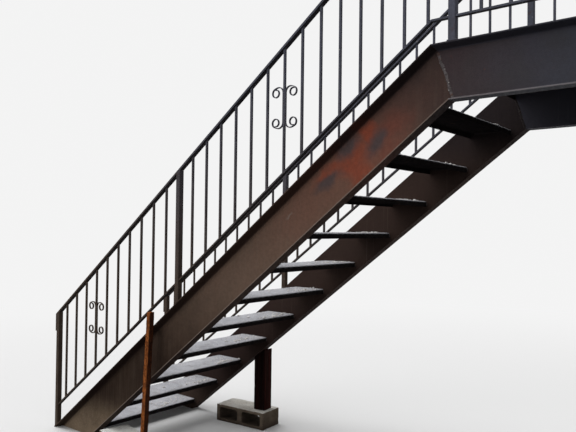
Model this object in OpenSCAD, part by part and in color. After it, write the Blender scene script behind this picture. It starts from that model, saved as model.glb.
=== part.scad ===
// Outdoor steel stair: two bent channel stringers, open bent-plate treads, a short landing and a picket railing
// on each side. The origin is on the wall face of the wall plate, halfway down the landing channels. The stair
// goes down towards -X, the near side is -Y, and the ground is at ground_z.

/* [Flight] */
// Height from one tread to the next
rise = 197; // [150:1:215]
// Horizontal step from one tread to the next
going = 257; // [220:1:320]
// Number of treads below the landing
tread_count = 11; // [6:1:11]
// Height of the lowest tread above the ground
first_tread_h = 88; // [60:1:150]
// Distance of the lowest tread's rear edge from the foot of the stringers
first_tread_x = 446; // [430:1:460]
// Clear width between the stringer webs
clear_w = 914; // [700:1:1200]
// Length of the landing channels from the knee to the wall
landing_l = 1500; // [900:10:2400]
// Depth of the deck surface below the top of the landing channels
deck_drop = 53; // [20:1:120]

/* [Stringer channel] */
// Depth of the channel section
channel_d = 254; // [200:1:300]
// Width of the flanges
flange_w = 66; // [50:1:90]
// Thickness of the flanges halfway between web and toe
flange_t = 11; // [9:0.5:16]
// Thickness of the web
web_t = 7; // [5:0.5:12]
// Slope of the flanges' inner faces, height over width
flange_taper = 0.1667; // [0:0.0001:0.2]
// Radius at the toes of the flanges
toe_r = 4; // [2:0.5:5]
// Radius where the flanges run into the web
root_r = 10; // [6:0.5:14]

/* [Treads and deck] */
// Depth of a tread from its nose to its rear edge
tread_depth = 240; // [200:1:280]
// Thickness of the tread and deck plate
plate_t = 5; // [3:0.5:8]
// Height of the bent edges
lip_h = 32; // [20:1:50]
// Outer radius of the bends
bend_r = 8; // [6:0.5:12]
// Depth of the deck bearers
bearer_d = 75; // [50:1:100]
// Flange width of the deck bearers
bearer_w = 40; // [30:1:60]
// Thickness of the deck bearers
bearer_t = 6; // [4:0.5:8]

/* [Railing] */
// Side of the square railing posts
post_s = 34; // [25:1:50]
// Radius of the posts' upright edges
post_r = 4; // [1:0.5:6]
// Distance of the foot post's lower face from the foot of the stringers
foot_post_in = 5; // [0:1:20]
// Distance of the middle post from the foot of the stringers
mid_post_d = 1344; // [1200:1:1400]
// Distance of the knee post past the knee
knee_post_d = 97; // [60:1:200]
// Side of the square pickets
picket_s = 12; // [8:1:16]
// Number of pickets in the lower bay
lower_pickets = 10; // [6:1:11]
// Number of pickets in the upper bay
upper_pickets = 14; // [10:1:15]
// Number of pickets beside the landing
landing_pickets = 10; // [6:1:12]
// Width of the top rail
top_rail_w = 32; // [25:1:50]
// Thickness of the top rail
top_rail_t = 12; // [8:1:20]
// Width of the bottom rail
bottom_rail_w = 25; // [18:1:34]
// Thickness of the bottom rail
bottom_rail_t = 9; // [6:1:14]
// Height of the near top rail over the stringer at the foot
near_top_foot_h = 829; // [700:1:1100]
// Height of the near top rail over the stringer at the knee
near_top_knee_h = 765; // [700:1:1100]
// Height of the far top rail over the stringer at the foot
far_top_foot_h = 868; // [700:1:1100]
// Height of the far top rail over the stringer at the knee
far_top_knee_h = 811; // [700:1:1100]
// Height of the near bottom rail over the stringer at the foot
near_bottom_foot_h = 142; // [90:1:200]
// Height of the near bottom rail over the stringer at the knee
near_bottom_knee_h = 106; // [60:1:200]
// Height of the far bottom rail over the stringer at the foot
far_bottom_foot_h = 180; // [90:1:220]
// Height of the far bottom rail over the stringer at the knee
far_bottom_knee_h = 115; // [60:1:200]
// Length of the top rail's end, bent down over the foot post
return_l = 118; // [60:1:200]
// Outer radius of that bend
return_r = 16; // [14:1:30]

/* [Scroll ornaments] */
// Half the distance between the centres of the two curls
scroll_half = 79; // [60:1:120]
// Distance of a curl's centre from the picket's face
curl_out = 52; // [44:1:56]
// Outer radius of a curl
curl_r = 27; // [20:1:30]
// Thickness of the scroll strip
strip_t = 5; // [3:0.5:8]
// Width of the scroll strip
strip_w = 10; // [6:1:12]
// Gap between a curl's inner end and the ring round it
curl_gap = 1; // [0.5:0.1:4]
// Turn in which the strip swings from the picket into the ring
shoulder_turn = 108; // [84:12:132]
// Picket of the lower bay that carries scrolls
lower_scroll_picket = 4; // [2:1:6]
// Picket of the upper bay that carries scrolls
upper_scroll_picket = 7; // [2:1:10]
// How far the upper bay's scrolls sit above the middle of their picket
upper_scroll_up = 18; // [0:1:40]

/* [Wall plate] */
// Thickness of the wall plate
wall_plate_t = 12; // [8:1:20]
// Horizontal distance between the anchor holes
anchor_dy = 700; // [500:5:800]
// Vertical distance between the anchor holes
anchor_dz = 150; // [120:1:160]
// Diameter of the anchor holes
anchor_d = 18; // [12:1:22]

/* [Props and blocks] */
// Length of a concrete block
block_l = 445; // [390:1:450]
// Width of a concrete block
block_w = 205; // [190:1:220]
// Height of a concrete block
block_h = 125; // [90:1:140]
// Radius of a block's worn upright edges
block_r = 6; // [2:1:12]
// Width of a block's cores
core_w = 170; // [120:1:175]
// Height of a block's cores
core_h = 80; // [50:1:82]
// Corner radius of a block's cores
core_r = 14; // [8:1:24]
// Thickness of a block's end walls
end_wall = 30; // [20:1:40]
// Distance of the near block's centre from the stair's foot
near_block_x = 878; // [860:1:900]
// Distance of the near block's centre outside the stringer's toes
near_block_out = -10; // [-40:1:20]
// Turn of the near block
near_block_turn = -11; // [-15:1:0]
// Distance of the far block's centre from the stair's foot
far_block_x = 990; // [960:1:1020]
// Distance of the far block's centre outside the stringer's toes
far_block_out = -16; // [-40:1:20]
// Turn of the far block
far_block_turn = 5; // [0:1:8]
// Side of the square, leaning near prop
near_prop_s = 36; // [25:1:45]
// Distance of the near prop's foot from the stair's foot
near_prop_x = 1058; // [1030:1:1060]
// Height of the near prop's top over the ground
near_prop_h = 955; // [900:5:980]
// Lean of the near prop
near_prop_lean = 3.5; // [0:0.5:6]
// Side of the square far prop
far_prop_s = 96; // [75:1:110]
// Distance of the far prop's centre from the stair's foot
far_prop_x = 1125; // [1100:1:1130]
// Distance of the far prop's centre outside the stringer's toes
far_prop_out = 5; // [-20:1:20]
// Turn of the far prop
far_prop_turn = 6; // [0:1:10]

/* [Hidden] */
$fn = 48;
// Turn from one point of a curl's edge to the next
curl_step = 12;
// How far a cutting body passes the face that it cuts
over = 1;
pitch_angle = atan(rise / going);
grade = rise / going;
steel = "#3a3431";
dark_steel = "#35363a";
plate_grey = "#8d8c93";
rust = "#8a4a24";
red_brown = "#4a2420";
concrete = "#b9b5ac";

knee_h = first_tread_h + tread_count * rise + deck_drop;
knee_x = -landing_l;
top_z = channel_d / 2;
ground_z = top_z - knee_h;
foot_x = knee_x - knee_h / grade;
half_clear = clear_w / 2;
toe_y = half_clear + flange_w;
landing_end_x = -wall_plate_t;
deck_z = top_z - deck_drop;
deck_nose_x = foot_x + first_tread_x + tread_count * going - tread_depth;
post_y = toe_y - post_s / 2;
foot_post_x = foot_x + foot_post_in + post_s / 2;
mid_post_x = foot_x + mid_post_d;
knee_post_x = knee_x + knee_post_d;
wall_post_x = landing_end_x - post_s / 2;

// Height of the stringer's top edge at x
function slope_z(x) = top_z + (x - knee_x) * grade;
// Heights of a rail over the stringer at the foot and at the knee
function top_h(far) = far ? [far_top_foot_h, far_top_knee_h] : [near_top_foot_h, near_top_knee_h];
function bottom_h(far) = far ? [far_bottom_foot_h, far_bottom_knee_h] : [near_bottom_foot_h, near_bottom_knee_h];
// Slope angle of a rail between the foot post and the knee
function rail_angle(h) = atan((top_z + h[1] - slope_z(foot_x) - h[0]) / (knee_x - foot_x));
// Height of a rail's middle at x, straight from the foot post to the knee and level past it
function rail_z(x, h) = top_z + h[1] + min(x - knee_x, 0) * tan(rail_angle(h));
// Height of a rail's lower or upper face at x
function rail_face(x, h, t, side) = rail_z(x, h) + side * t / 2 / (x > knee_x ? 1 : cos(rail_angle(h)));
function top_rail_under(x, far) = rail_face(x, top_h(far), top_rail_t, -1);
function bottom_rail_over(x, far) = rail_face(x, bottom_h(far), bottom_rail_t, 1);
// Points of an arc in a plane
function arc(x, z, r, from, to, steps = 6) =
  [for (i = [0 : steps]) let (a = from + (to - from) * i / steps) [x + r * cos(a), z + r * sin(a)]];
// A list of points from its last to its first
function backwards(list) = [for (i = [len(list) - 1 : -1 : 0]) list[i]];

// A flat outline in X and Z, extruded to lie between y and y + w
module slab(y, w) {
  translate([0, y + w, 0]) rotate([90, 0, 0]) linear_extrude(w) children();
}

// The children as they are, or mirrored to the far side
module on_side(far) {
  mirror([0, far ? 1 : 0, 0]) children();
}

// Rectangle with round corners, centred on the origin
module rounded_rectangle(w, h, r) {
  x = w / 2 - r;
  y = h / 2 - r;
  polygon(concat(arc(x, y, r, 0, 90), arc(-x, y, r, 90, 180), arc(-x, -y, r, 180, 270), arc(x, -y, r, 270, 360)));
}

// Thickness of a flange at the distance u from the back of the web
function flange_at(u) = flange_t + ((flange_w + web_t) / 2 - u) * flange_taper;
// Upper half of the rolled channel section, from the back of the web round the toe to the web's front
function half_section() =
  let (a = atan(flange_taper),
       toe_u = flange_w - toe_r,
       toe_v = channel_d / 2 - flange_at(toe_u) + toe_r / cos(a),
       root_u = web_t + root_r,
       root_v = channel_d / 2 - flange_at(root_u) - root_r / cos(a))
  concat(
    [[0, channel_d / 2], [flange_w, channel_d / 2]],
    arc(toe_u, toe_v, toe_r, 0, a - 90, 4),
    arc(root_u, root_v, root_r, 90 + a, 180, 4));

// Length of rolled channel along X, its top edge at Z 0, the back of its web at Y 0 and its toes towards -Y
module channel(length) {
  upper = half_section();
  section = concat(upper, backwards([for (q = upper) [q[0], -q[1]]]));
  rotate([90, 0, 90]) linear_extrude(length)
    polygon([for (q = section) [-q[0], q[1] - channel_d / 2]]);
}

// Everything on one side of the mitre at the knee: before it for -1, past it for 1
module mitre_cut(side) {
  size = 2 * channel_d;
  translate([knee_x, 0, top_z]) rotate([0, -pitch_angle / 2, 0])
    translate([side > 0 ? 0 : -size, -toe_y - over, -size]) cube([size, toe_y, 2 * size]);
}

// Sloping channel with its toes outwards, cut level at the ground and mitred at the knee
module stringer(far) {
  length = (knee_x - foot_x) / cos(pitch_angle) + flange_w;
  color(steel) on_side(far) difference() {
    translate([knee_x, -half_clear, top_z]) rotate([0, -pitch_angle, 0])
      translate([-length, 0, 0]) channel(length + channel_d);
    mitre_cut(1);
    translate([foot_x - channel_d, -toe_y - over, ground_z - channel_d])
      cube([2 * knee_h, toe_y, channel_d]);
  }
}

// Level channel that carries the landing from the knee to the wall plate
module landing_channel(far) {
  color(dark_steel) on_side(far) difference() {
    translate([knee_x, -half_clear, top_z]) channel(landing_end_x - knee_x);
    mitre_cut(-1);
  }
}

// Plate across both landing channels, with four anchor holes to the wall
module wall_plate() {
  color(dark_steel) difference() {
    translate([-wall_plate_t, -toe_y, -channel_d / 2]) cube([wall_plate_t, 2 * toe_y, channel_d]);
    for (y = [-anchor_dy / 2, anchor_dy / 2], z = [-anchor_dz / 2, anchor_dz / 2])
      translate([-wall_plate_t - over, y, z]) rotate([0, 90, 0])
        cylinder(d = anchor_d, h = wall_plate_t + 2 * over);
  }
}

// Bent plate outline: a flat top with its nose bent down, and its rear edge too where asked
module bent_plate(nose_x, rear_x, z, rear_lip) {
  inner_r = bend_r - plate_t;
  front = [nose_x + bend_r, z - bend_r];
  rear = [rear_x - bend_r, z - bend_r];
  polygon(concat(
    [[nose_x, z - lip_h]],
    arc(front[0], front[1], bend_r, 180, 90),
    rear_lip ? arc(rear[0], rear[1], bend_r, 90, 0) : [[rear_x, z]],
    rear_lip ? [[rear_x, z - lip_h], [rear_x - plate_t, z - lip_h]] : [[rear_x, z - plate_t]],
    rear_lip ? arc(rear[0], rear[1], inner_r, 0, 90) : [],
    arc(front[0], front[1], inner_r, 90, 180),
    [[nose_x + plate_t, z - lip_h]]
  ));
}

// Tread number i, counted from the ground
module tread(i) {
  rear_x = foot_x + first_tread_x + (i - 1) * going;
  z = ground_z + first_tread_h + (i - 1) * rise;
  color(plate_grey) slab(-half_clear, clear_w) bent_plate(rear_x - tread_depth, rear_x, z, true);
}

// Landing plate with a bent nose at the head of the flight
module landing_deck() {
  color(dark_steel) slab(-half_clear, clear_w) bent_plate(deck_nose_x, landing_end_x, deck_z, false);
}

// Small channel across the landing under the deck, at a third or two thirds of its length
module deck_bearer(i) {
  x = deck_nose_x + (landing_end_x - deck_nose_x) * i / 3;
  z = deck_z - plate_t;
  color(dark_steel) slab(-half_clear, clear_w) polygon([
    [x, z], [x + bearer_w, z], [x + bearer_w, z - bearer_t], [x + bearer_t, z - bearer_t],
    [x + bearer_t, z - bearer_d + bearer_t], [x + bearer_w, z - bearer_d + bearer_t],
    [x + bearer_w, z - bearer_d], [x, z - bearer_d]
  ]);
}

// Flat bar over the posts and pickets, its lower end bent down over the foot post
module top_rail(far) {
  h = top_h(far);
  a = rail_angle(h);
  level_z = top_z + h[1];
  knee_shift = top_rail_t / 2 * tan(a / 2);
  post_face = foot_post_x - post_s / 2;
  outer_x = post_face - top_rail_t;
  bend_x = outer_x + return_r;
  end_z = top_rail_under(post_face, far) - return_l;
  color(steel) on_side(far) slab(-post_y - top_rail_w / 2, top_rail_w) polygon(concat(
    [[outer_x, end_z]],
    arc(bend_x, rail_face(bend_x, h, top_rail_t, 1) - return_r / cos(a), return_r, 180, 90 + a),
    [[knee_x - knee_shift, level_z + top_rail_t / 2], [landing_end_x, level_z + top_rail_t / 2],
     [landing_end_x, level_z - top_rail_t / 2], [knee_x + knee_shift, level_z - top_rail_t / 2],
     [post_face, top_rail_under(post_face, far)], [post_face, end_z]]));
}

// Flat bar under the pickets, in lengths that stop at the post faces
module bottom_rail(far) {
  h = bottom_h(far);
  level_z = top_z + h[1];
  knee_shift = bottom_rail_t / 2 * tan(rail_angle(h) / 2);
  color(steel) on_side(far) slab(-post_y - bottom_rail_w / 2, bottom_rail_w) difference() {
    polygon([
      [foot_post_x, rail_face(foot_post_x, h, bottom_rail_t, -1)],
      [knee_x + knee_shift, level_z - bottom_rail_t / 2], [wall_post_x, level_z - bottom_rail_t / 2],
      [wall_post_x, level_z + bottom_rail_t / 2], [knee_x - knee_shift, level_z + bottom_rail_t / 2],
      [foot_post_x, bottom_rail_over(foot_post_x, far)]
    ]);
    for (x = [foot_post_x, mid_post_x, knee_post_x, wall_post_x])
      translate([x - post_s / 2, ground_z]) square([post_s, 2 * knee_h]);
  }
}

// Square tube from the stringer's upper flange to the top rail, cut to both, with round edges
module rail_post(x, far) {
  l = x - post_s / 2;
  r = x + post_s / 2;
  color(steel) on_side(far) intersection() {
    slab(-toe_y, post_s) polygon([
      [l, min(slope_z(l), top_z)], [r, min(slope_z(r), top_z)], [r, top_rail_under(r, far)], [l, top_rail_under(l, far)]
    ]);
    translate([x, -post_y, ground_z]) linear_extrude(2 * knee_h) rounded_rectangle(post_s, post_s, post_r);
  }
}

// Pickets evenly spaced between two posts, each cut to the slopes of the rails
module pickets(x0, x1, count, far) {
  step = (x1 - x0) / (count + 1);
  color(steel) on_side(far) for (i = [1 : count]) {
    l = x0 + i * step - picket_s / 2;
    r = l + picket_s;
    slab(-post_y - picket_s / 2, picket_s) polygon([
      [l, bottom_rail_over(l, far)], [r, bottom_rail_over(r, far)],
      [r, top_rail_under(r, far)], [l, top_rail_under(l, far)]
    ]);
  }
}

// Radius of a curl's middle line after the turn a: it swings from the picket into the ring, then winds up inside it
function curl_radius(a) =
  let (ring_r = curl_r - strip_t / 2)
  a < shoulder_turn
    ? ring_r + (curl_out - curl_r) * (1 + cos(180 * a / shoulder_turn)) / 2
    : ring_r - (strip_t + curl_gap) * (a - shoulder_turn) / 360;
// Point of that middle line
function curl_point(a) = curl_radius(a) * [cos(180 - a), sin(180 - a)];
// One edge of the curl, at the distance e square to its middle line, for the upper end or the lower one
function curl(e, up) = [
  for (a = [0 : curl_step : shoulder_turn + 360])
    let (ahead = curl_point(a + 1) - curl_point(a - 1),
         q = curl_point(a) + e * [-ahead[1], ahead[0]] / norm(ahead))
    [curl_out + q[0], up * (scroll_half + q[1])]
];

// C scroll with its back on the left, centred on the origin
module scroll_outline() {
  outer = concat(backwards(curl(strip_t / 2, -1)), curl(strip_t / 2, 1));
  inner = concat(backwards(curl(-strip_t / 2, -1)), curl(-strip_t / 2, 1));
  polygon(concat(outer, backwards(inner)));
}

// A pair of C scrolls, back to back on both sides of one picket
module scrolls(x0, x1, count, which, up, far) {
  x = x0 + which * (x1 - x0) / (count + 1);
  z = (top_rail_under(x, far) + bottom_rail_over(x, far)) / 2 + up;
  color(steel) on_side(far) slab(-post_y - strip_w / 2, strip_w) for (side = [0, 1])
    translate([x, z]) mirror([side, 0]) translate([picket_s / 2, 0]) scroll_outline();
}

// Two-core concrete block on its side, turned a little about its centre, its cores facing across the stair
module block(x, y, turn) {
  color(concrete) translate([x, y, ground_z]) rotate([0, 0, turn]) difference() {
    linear_extrude(block_h) rounded_rectangle(block_l, block_w, block_r);
    for (side = [-1, 1])
      translate([side * (block_l / 2 - end_wall - core_w / 2), block_w / 2 + over, block_h / 2]) rotate([90, 0, 0])
        linear_extrude(block_w + 2 * over) rounded_rectangle(core_w, core_h, core_r);
  }
}

// Square bar that leans against the near stringer, from its block to the height of the bottom rail
module near_prop() {
  x = foot_x + near_prop_x;
  z0 = ground_z + block_h;
  z1 = ground_z + near_prop_h;
  shift = (z1 - z0) * tan(near_prop_lean);
  color(rust) slab(-toe_y - near_prop_s, near_prop_s) polygon([
    [x, z0], [x + near_prop_s, z0], [x + near_prop_s + shift, z1], [x + shift, z1]
  ]);
}

// Square post from the far block to the underside of the far stringer, cut to its slope
module far_prop() {
  color(red_brown) difference() {
    translate([foot_x + far_prop_x, toe_y + far_prop_out, ground_z + block_h]) rotate([0, 0, far_prop_turn])
      translate([-far_prop_s / 2, -far_prop_s / 2, 0]) cube([far_prop_s, far_prop_s, knee_h / 2]);
    translate([foot_x + channel_d / sin(pitch_angle), 0, ground_z]) rotate([0, -pitch_angle, 0])
      cube([2 * knee_h, 2 * toe_y, knee_h]);
  }
}

stringer(false);  // near_stringer
stringer(true);  // far_stringer
landing_channel(false);  // near_landing_channel
landing_channel(true);  // far_landing_channel
wall_plate();
landing_deck();
deck_bearer(1);  // deck_bearer_1
deck_bearer(2);  // deck_bearer_2
for (i = [1 : tread_count])
  tread(i);
top_rail(false);  // near_top_rail
top_rail(true);  // far_top_rail
bottom_rail(false);  // near_bottom_rail
bottom_rail(true);  // far_bottom_rail
rail_post(foot_post_x, false);  // near_foot_post
rail_post(mid_post_x, false);  // near_mid_post
rail_post(knee_post_x, false);  // near_knee_post
rail_post(wall_post_x, false);  // near_wall_post
rail_post(foot_post_x, true);  // far_foot_post
rail_post(mid_post_x, true);  // far_mid_post
rail_post(knee_post_x, true);  // far_knee_post
rail_post(wall_post_x, true);  // far_wall_post
pickets(foot_x, mid_post_x, lower_pickets, false);  // near_lower_pickets
pickets(mid_post_x, knee_post_x, upper_pickets, false);  // near_upper_pickets
pickets(knee_post_x, wall_post_x, landing_pickets, false);  // near_landing_pickets
pickets(foot_x, mid_post_x, lower_pickets, true);  // far_lower_pickets
pickets(mid_post_x, knee_post_x, upper_pickets, true);  // far_upper_pickets
pickets(knee_post_x, wall_post_x, landing_pickets, true);  // far_landing_pickets
scrolls(foot_x, mid_post_x, lower_pickets, lower_scroll_picket, 0, false);  // near_lower_scrolls
scrolls(mid_post_x, knee_post_x, upper_pickets, upper_scroll_picket, upper_scroll_up, false);  // near_upper_scrolls
scrolls(foot_x, mid_post_x, lower_pickets, lower_scroll_picket, 0, true);  // far_lower_scrolls
scrolls(mid_post_x, knee_post_x, upper_pickets, upper_scroll_picket, upper_scroll_up, true);  // far_upper_scrolls
near_prop();
far_prop();
block(foot_x + near_block_x, -toe_y - near_block_out, near_block_turn);  // near_block
block(foot_x + far_block_x, toe_y + far_block_out, far_block_turn);  // far_block
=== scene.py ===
"""Looks of an outdoor steel fire escape stair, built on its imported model. Metres, +Z up, wall at X 0."""
import math

import bmesh
import bpy
import numpy as np
from mathutils import Matrix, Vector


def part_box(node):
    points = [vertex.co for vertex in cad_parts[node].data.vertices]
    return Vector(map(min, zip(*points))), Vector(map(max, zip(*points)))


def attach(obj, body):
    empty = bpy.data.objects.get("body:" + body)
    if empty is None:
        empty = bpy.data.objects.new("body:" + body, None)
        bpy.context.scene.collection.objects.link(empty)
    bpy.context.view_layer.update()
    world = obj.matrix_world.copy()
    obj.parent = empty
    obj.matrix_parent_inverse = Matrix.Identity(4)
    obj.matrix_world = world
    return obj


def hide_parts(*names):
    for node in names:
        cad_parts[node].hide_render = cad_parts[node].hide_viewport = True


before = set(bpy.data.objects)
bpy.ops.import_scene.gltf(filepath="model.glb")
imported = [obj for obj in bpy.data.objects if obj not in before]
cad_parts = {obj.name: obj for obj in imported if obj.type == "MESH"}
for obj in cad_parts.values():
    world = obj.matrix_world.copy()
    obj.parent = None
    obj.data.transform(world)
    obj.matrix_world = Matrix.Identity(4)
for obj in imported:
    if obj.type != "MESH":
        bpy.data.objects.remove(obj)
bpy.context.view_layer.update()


# Stringers: 10 inch rolled steel channels with their toes outwards, cut level at the ground. They carry a
# brown-black coat over red primer, which shows through in a cloudy patch on the near web below the knee.
# Painted shade keeps the inner faces and undersides nearly black, a broad painted light lies on the near
# web below the knee, and dust and splashed soil climb the feet.
GROUND_Z = -2.181
KNEE_X = -1.5
CHANNEL_TOP_Z = 0.127
CHANNEL_DEPTH = 0.254
WEB_OUTER_Y = 0.464
WEB_INNER_Y = 0.457
TOE_Y = 0.523
RISE = 0.197
GOING = 0.257
GRADE = RISE / GOING
SLOPE = math.atan(GRADE)
DUSTY_SHINE = 0.02
UP, DOWN = (0.0, 0.0, 1.0), (0.0, 0.0, -1.0)


def srgb(red, green, blue):
    """Linear colour of a paint whose screen values run from 0 to 255."""
    c = np.array([red, green, blue]) / 255
    return (*np.where(c <= 0.04045, c / 12.92, ((c + 0.055) / 1.055) ** 2.4), 1.0)


def fill(tree, inputs, values):
    """Links each named or numbered input to the socket given for it, or sets it to the value given."""
    for name, value in dict(values).items():
        if isinstance(value, bpy.types.NodeSocket):
            tree.links.new(value, inputs[name])
        else:
            inputs[name].default_value = value


def add(tree, kind, values=(), **settings):
    """A new node with those settings and its inputs filled."""
    node = tree.nodes.new(kind)
    for name, value in settings.items():
        setattr(node, name, value)
    fill(tree, node.inputs, values)
    return node


def maths(kind, operation, values):
    """The outputs of one operation on values, in the node tree of the first socket among them."""
    tree = next(value.id_data for value in values if isinstance(value, bpy.types.NodeSocket))
    return add(tree, kind, enumerate(values), operation=operation).outputs


def arithmetic(operation, *numbers):
    """One operation on one to three numbers, at least one of them a socket."""
    return maths("ShaderNodeMath", operation, numbers)[0]


def vectors(operation, *values):
    """One operation on vectors, which gives a Vector or a Value."""
    return maths("ShaderNodeVectorMath", operation, values)


def times(a, b):
    """The product of two masks, or of a mask and its strength."""
    return arithmetic("MULTIPLY", a, b)


def ramp(value, low, high, to_low=0.0, to_high=1.0):
    """Smooth step of a value from to_low at low to to_high at high, flat outside."""
    ends = {"Value": value, "From Min": low, "From Max": high, "To Min": to_low, "To Max": to_high}
    return add(value.id_data, "ShaderNodeMapRange", ends, interpolation_type="SMOOTHSTEP").outputs["Result"]


def blend(mask, under, over):
    """Colour over laid on colour under where the mask is 1."""
    return add(mask.id_data, "ShaderNodeMix", {0: mask, 6: under, 7: over}, data_type="RGBA").outputs[2]


def lay(coat, mask, strength, colour):
    """The coat with a colour over it where the mask is, at that strength."""
    return blend(times(mask, strength), coat, colour)


def parts_of(vector):
    """The X, Y and Z of a vector."""
    return add(vector.id_data, "ShaderNodeSeparateXYZ", {0: vector}).outputs


def noise(place, scale, detail, roughness=0.5):
    """Cloudy noise: its Fac runs from 0 to 1, and its Color holds three such clouds."""
    values = {"Vector": place, "Scale": scale, "Detail": detail, "Roughness": roughness}
    return add(place.id_data, "ShaderNodeTexNoise", values).outputs


def face_normal(tree):
    """The way that a face looks, before any smoothing or bump."""
    return add(tree, "ShaderNodeNewGeometry").outputs["True Normal"]


def effect(name, inputs):
    """A new shader node group with those inputs and a Mask output: its tree, its inputs and its output."""
    tree = bpy.data.node_groups.new(name, "ShaderNodeTree")
    tree.interface.new_socket("Mask", in_out="OUTPUT", socket_type="NodeSocketFloat")
    for label, value in inputs.items():
        kind = "NodeSocketVector" if label in ("Place", "Toward") else "NodeSocketFloat"
        socket = tree.interface.new_socket(label, in_out="INPUT", socket_type=kind)
        if value is not None:
            socket.default_value = value
    return tree, tree.nodes.new("NodeGroupInput").outputs, tree.nodes.new("NodeGroupOutput").inputs["Mask"]


def over_level(value, cover, softness):
    """1 where a noise is over the level that leaves about that cover of the surface, with a soft edge."""
    level = arithmetic("MULTIPLY_ADD", cover, -0.5, 0.75)
    return ramp(value, arithmetic("SUBTRACT", level, softness), arithmetic("ADD", level, softness))


def make_patches():
    """Cloudy patches of Size metres over about Cover of the surface."""
    inputs = {"Place": None, "Size": 0.2, "Cover": 0.5, "Softness": 0.2, "Detail": 6.0}
    tree, given, mask = effect("patches", inputs)
    clouds = noise(given["Place"], arithmetic("DIVIDE", 1.0, given["Size"]), given["Detail"], 0.58)
    tree.links.new(over_level(clouds["Fac"], given["Cover"], given["Softness"]), mask)
    return tree


def make_streaks():
    """Upright streaks, Width wide and Length long in metres, over about Cover of the surface."""
    inputs = {"Place": None, "Width": 0.012, "Length": 0.5, "Cover": 0.4, "Softness": 0.15}
    tree, given, mask = effect("streaks", inputs)
    across, along = (arithmetic("DIVIDE", 1.0, given[size]) for size in ("Width", "Length"))
    squeeze = add(tree, "ShaderNodeCombineXYZ", {"X": across, "Y": across, "Z": along}).outputs[0]
    clouds = noise(vectors("MULTIPLY", given["Place"], squeeze)["Vector"], 1.0, 3.0, 0.55)
    tree.links.new(over_level(clouds["Fac"], given["Cover"], given["Softness"]), mask)
    return tree


def make_facing():
    """1 on faces that look Toward a direction by High or more, 0 on those that do so by less than Low."""
    tree, given, mask = effect("facing", {"Toward": UP, "Low": 0.35, "High": 0.8})
    likeness = vectors("DOT_PRODUCT", face_normal(tree), given["Toward"])["Value"]
    tree.links.new(ramp(likeness, given["Low"], given["High"]), mask)
    return tree


def make_inner_sides():
    """1 on faces that look to the stair's middle, by the sign of the normal's Y times the place's Y."""
    tree, given, mask = effect("inner sides", {"Place": None})
    inward = times(parts_of(face_normal(tree))["Y"], parts_of(given["Place"])["Y"])
    tree.links.new(ramp(inward, -0.2, -0.4), mask)
    return tree


def make_worn_edges():
    """Outer edges where the coat is rubbed thin, within Radius metres and broken up in bits of Size metres.
    Hollow corners, where the piece stands in its own way, are left out."""
    tree, given, mask = effect("worn edges", {"Place": None, "Radius": 0.003, "Size": 0.01, "Cover": 0.6})
    rounded = add(tree, "ShaderNodeBevel", {"Radius": given["Radius"]}, samples=4).outputs[0]
    edge = ramp(vectors("DOT_PRODUCT", rounded, face_normal(tree))["Value"], 0.98, 0.86)
    free = add(tree, "ShaderNodeAmbientOcclusion", {"Distance": 0.012}, samples=4, only_local=True)
    outer = times(edge, ramp(free.outputs["AO"], 0.8, 0.97))
    bits = noise(given["Place"], arithmetic("DIVIDE", 1.0, given["Size"]), 3.0)
    tree.links.new(times(outer, over_level(bits["Fac"], given["Cover"], 0.08)), mask)
    return tree


def make_specks():
    """Round specks of Size metres, in about Share of the cells of a random net four times as wide."""
    tree, given, mask = effect("specks", {"Place": None, "Size": 0.002, "Share": 0.3})
    scale = arithmetic("DIVIDE", 0.25, given["Size"])
    cells = add(tree, "ShaderNodeTexVoronoi", {"Vector": given["Place"], "Scale": scale}).outputs
    chance = add(tree, "ShaderNodeSeparateColor", {0: cells["Color"]}).outputs[0]
    chosen = arithmetic("LESS_THAN", chance, given["Share"])
    tree.links.new(times(chosen, ramp(cells["Distance"], 0.28, 0.18)), mask)
    return tree


EFFECTS = {"patches": make_patches(), "streaks": make_streaks(), "facing": make_facing(),
           "inner sides": make_inner_sides(), "worn edges": make_worn_edges(), "specks": make_specks()}


def use(place, name, **values):
    """The mask of a shared effect with its own values, in the material of those coordinates."""
    group = add(place.id_data, "ShaderNodeGroup", node_tree=EFFECTS[name])
    if "Place" in group.inputs:
        values["Place"] = place
    fill(place.id_data, group.inputs, values)
    return group.outputs["Mask"]


def start_material(name, shine=DUSTY_SHINE):
    """A new material, its shader and the Object coordinates, which are the model's own metres."""
    material = bpy.data.materials.new(name)
    material.use_nodes = True
    shader = material.node_tree.nodes["Principled BSDF"]
    shader.inputs["Specular IOR Level"].default_value = shine
    return material, shader, add(material.node_tree, "ShaderNodeTexCoord").outputs["Object"]


def finish_material(shader, colour, bits, roughness, relief, depth):
    """Gives the shader its colour, a roughness that runs between two values with the mask bits, and a bump
    that raises the mask relief by depth metres."""
    bump = add(shader.id_data, "ShaderNodeBump", {"Height": relief, "Distance": depth}).outputs[0]
    values = {"Base Color": colour, "Roughness": ramp(bits, 0.0, 1.0, *roughness), "Normal": bump}
    fill(shader.id_data, shader.inputs, values)


def moved(place, shift=(0, 0, 0), scale=(1, 1, 1), turn=(0, 0, 0)):
    """Coordinates centred on a point, turned and stretched."""
    values = {"Vector": place, "Location": shift, "Rotation": turn, "Scale": scale}
    return add(place.id_data, "ShaderNodeMapping", values, vector_type="TEXTURE").outputs[0]


def wavy(place, size, reach):
    """Coordinates pushed about by up to that reach in waves of that size, to make outlines cloudy."""
    push = vectors("SUBTRACT", noise(place, 1 / size, 4.0)["Color"], (0.5, 0.5, 0.5))["Vector"]
    return vectors("MULTIPLY_ADD", push, (4 * reach,) * 3, place)["Vector"]


def spot(place, centre, half_size):
    """A soft oval spot along the slope: 1 at its centre and 0 at half_size from it."""
    away = vectors("LENGTH", moved(place, centre, half_size, (0, -SLOPE, 0)))["Value"]
    return ramp(away, 1.0, 0.2)


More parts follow.
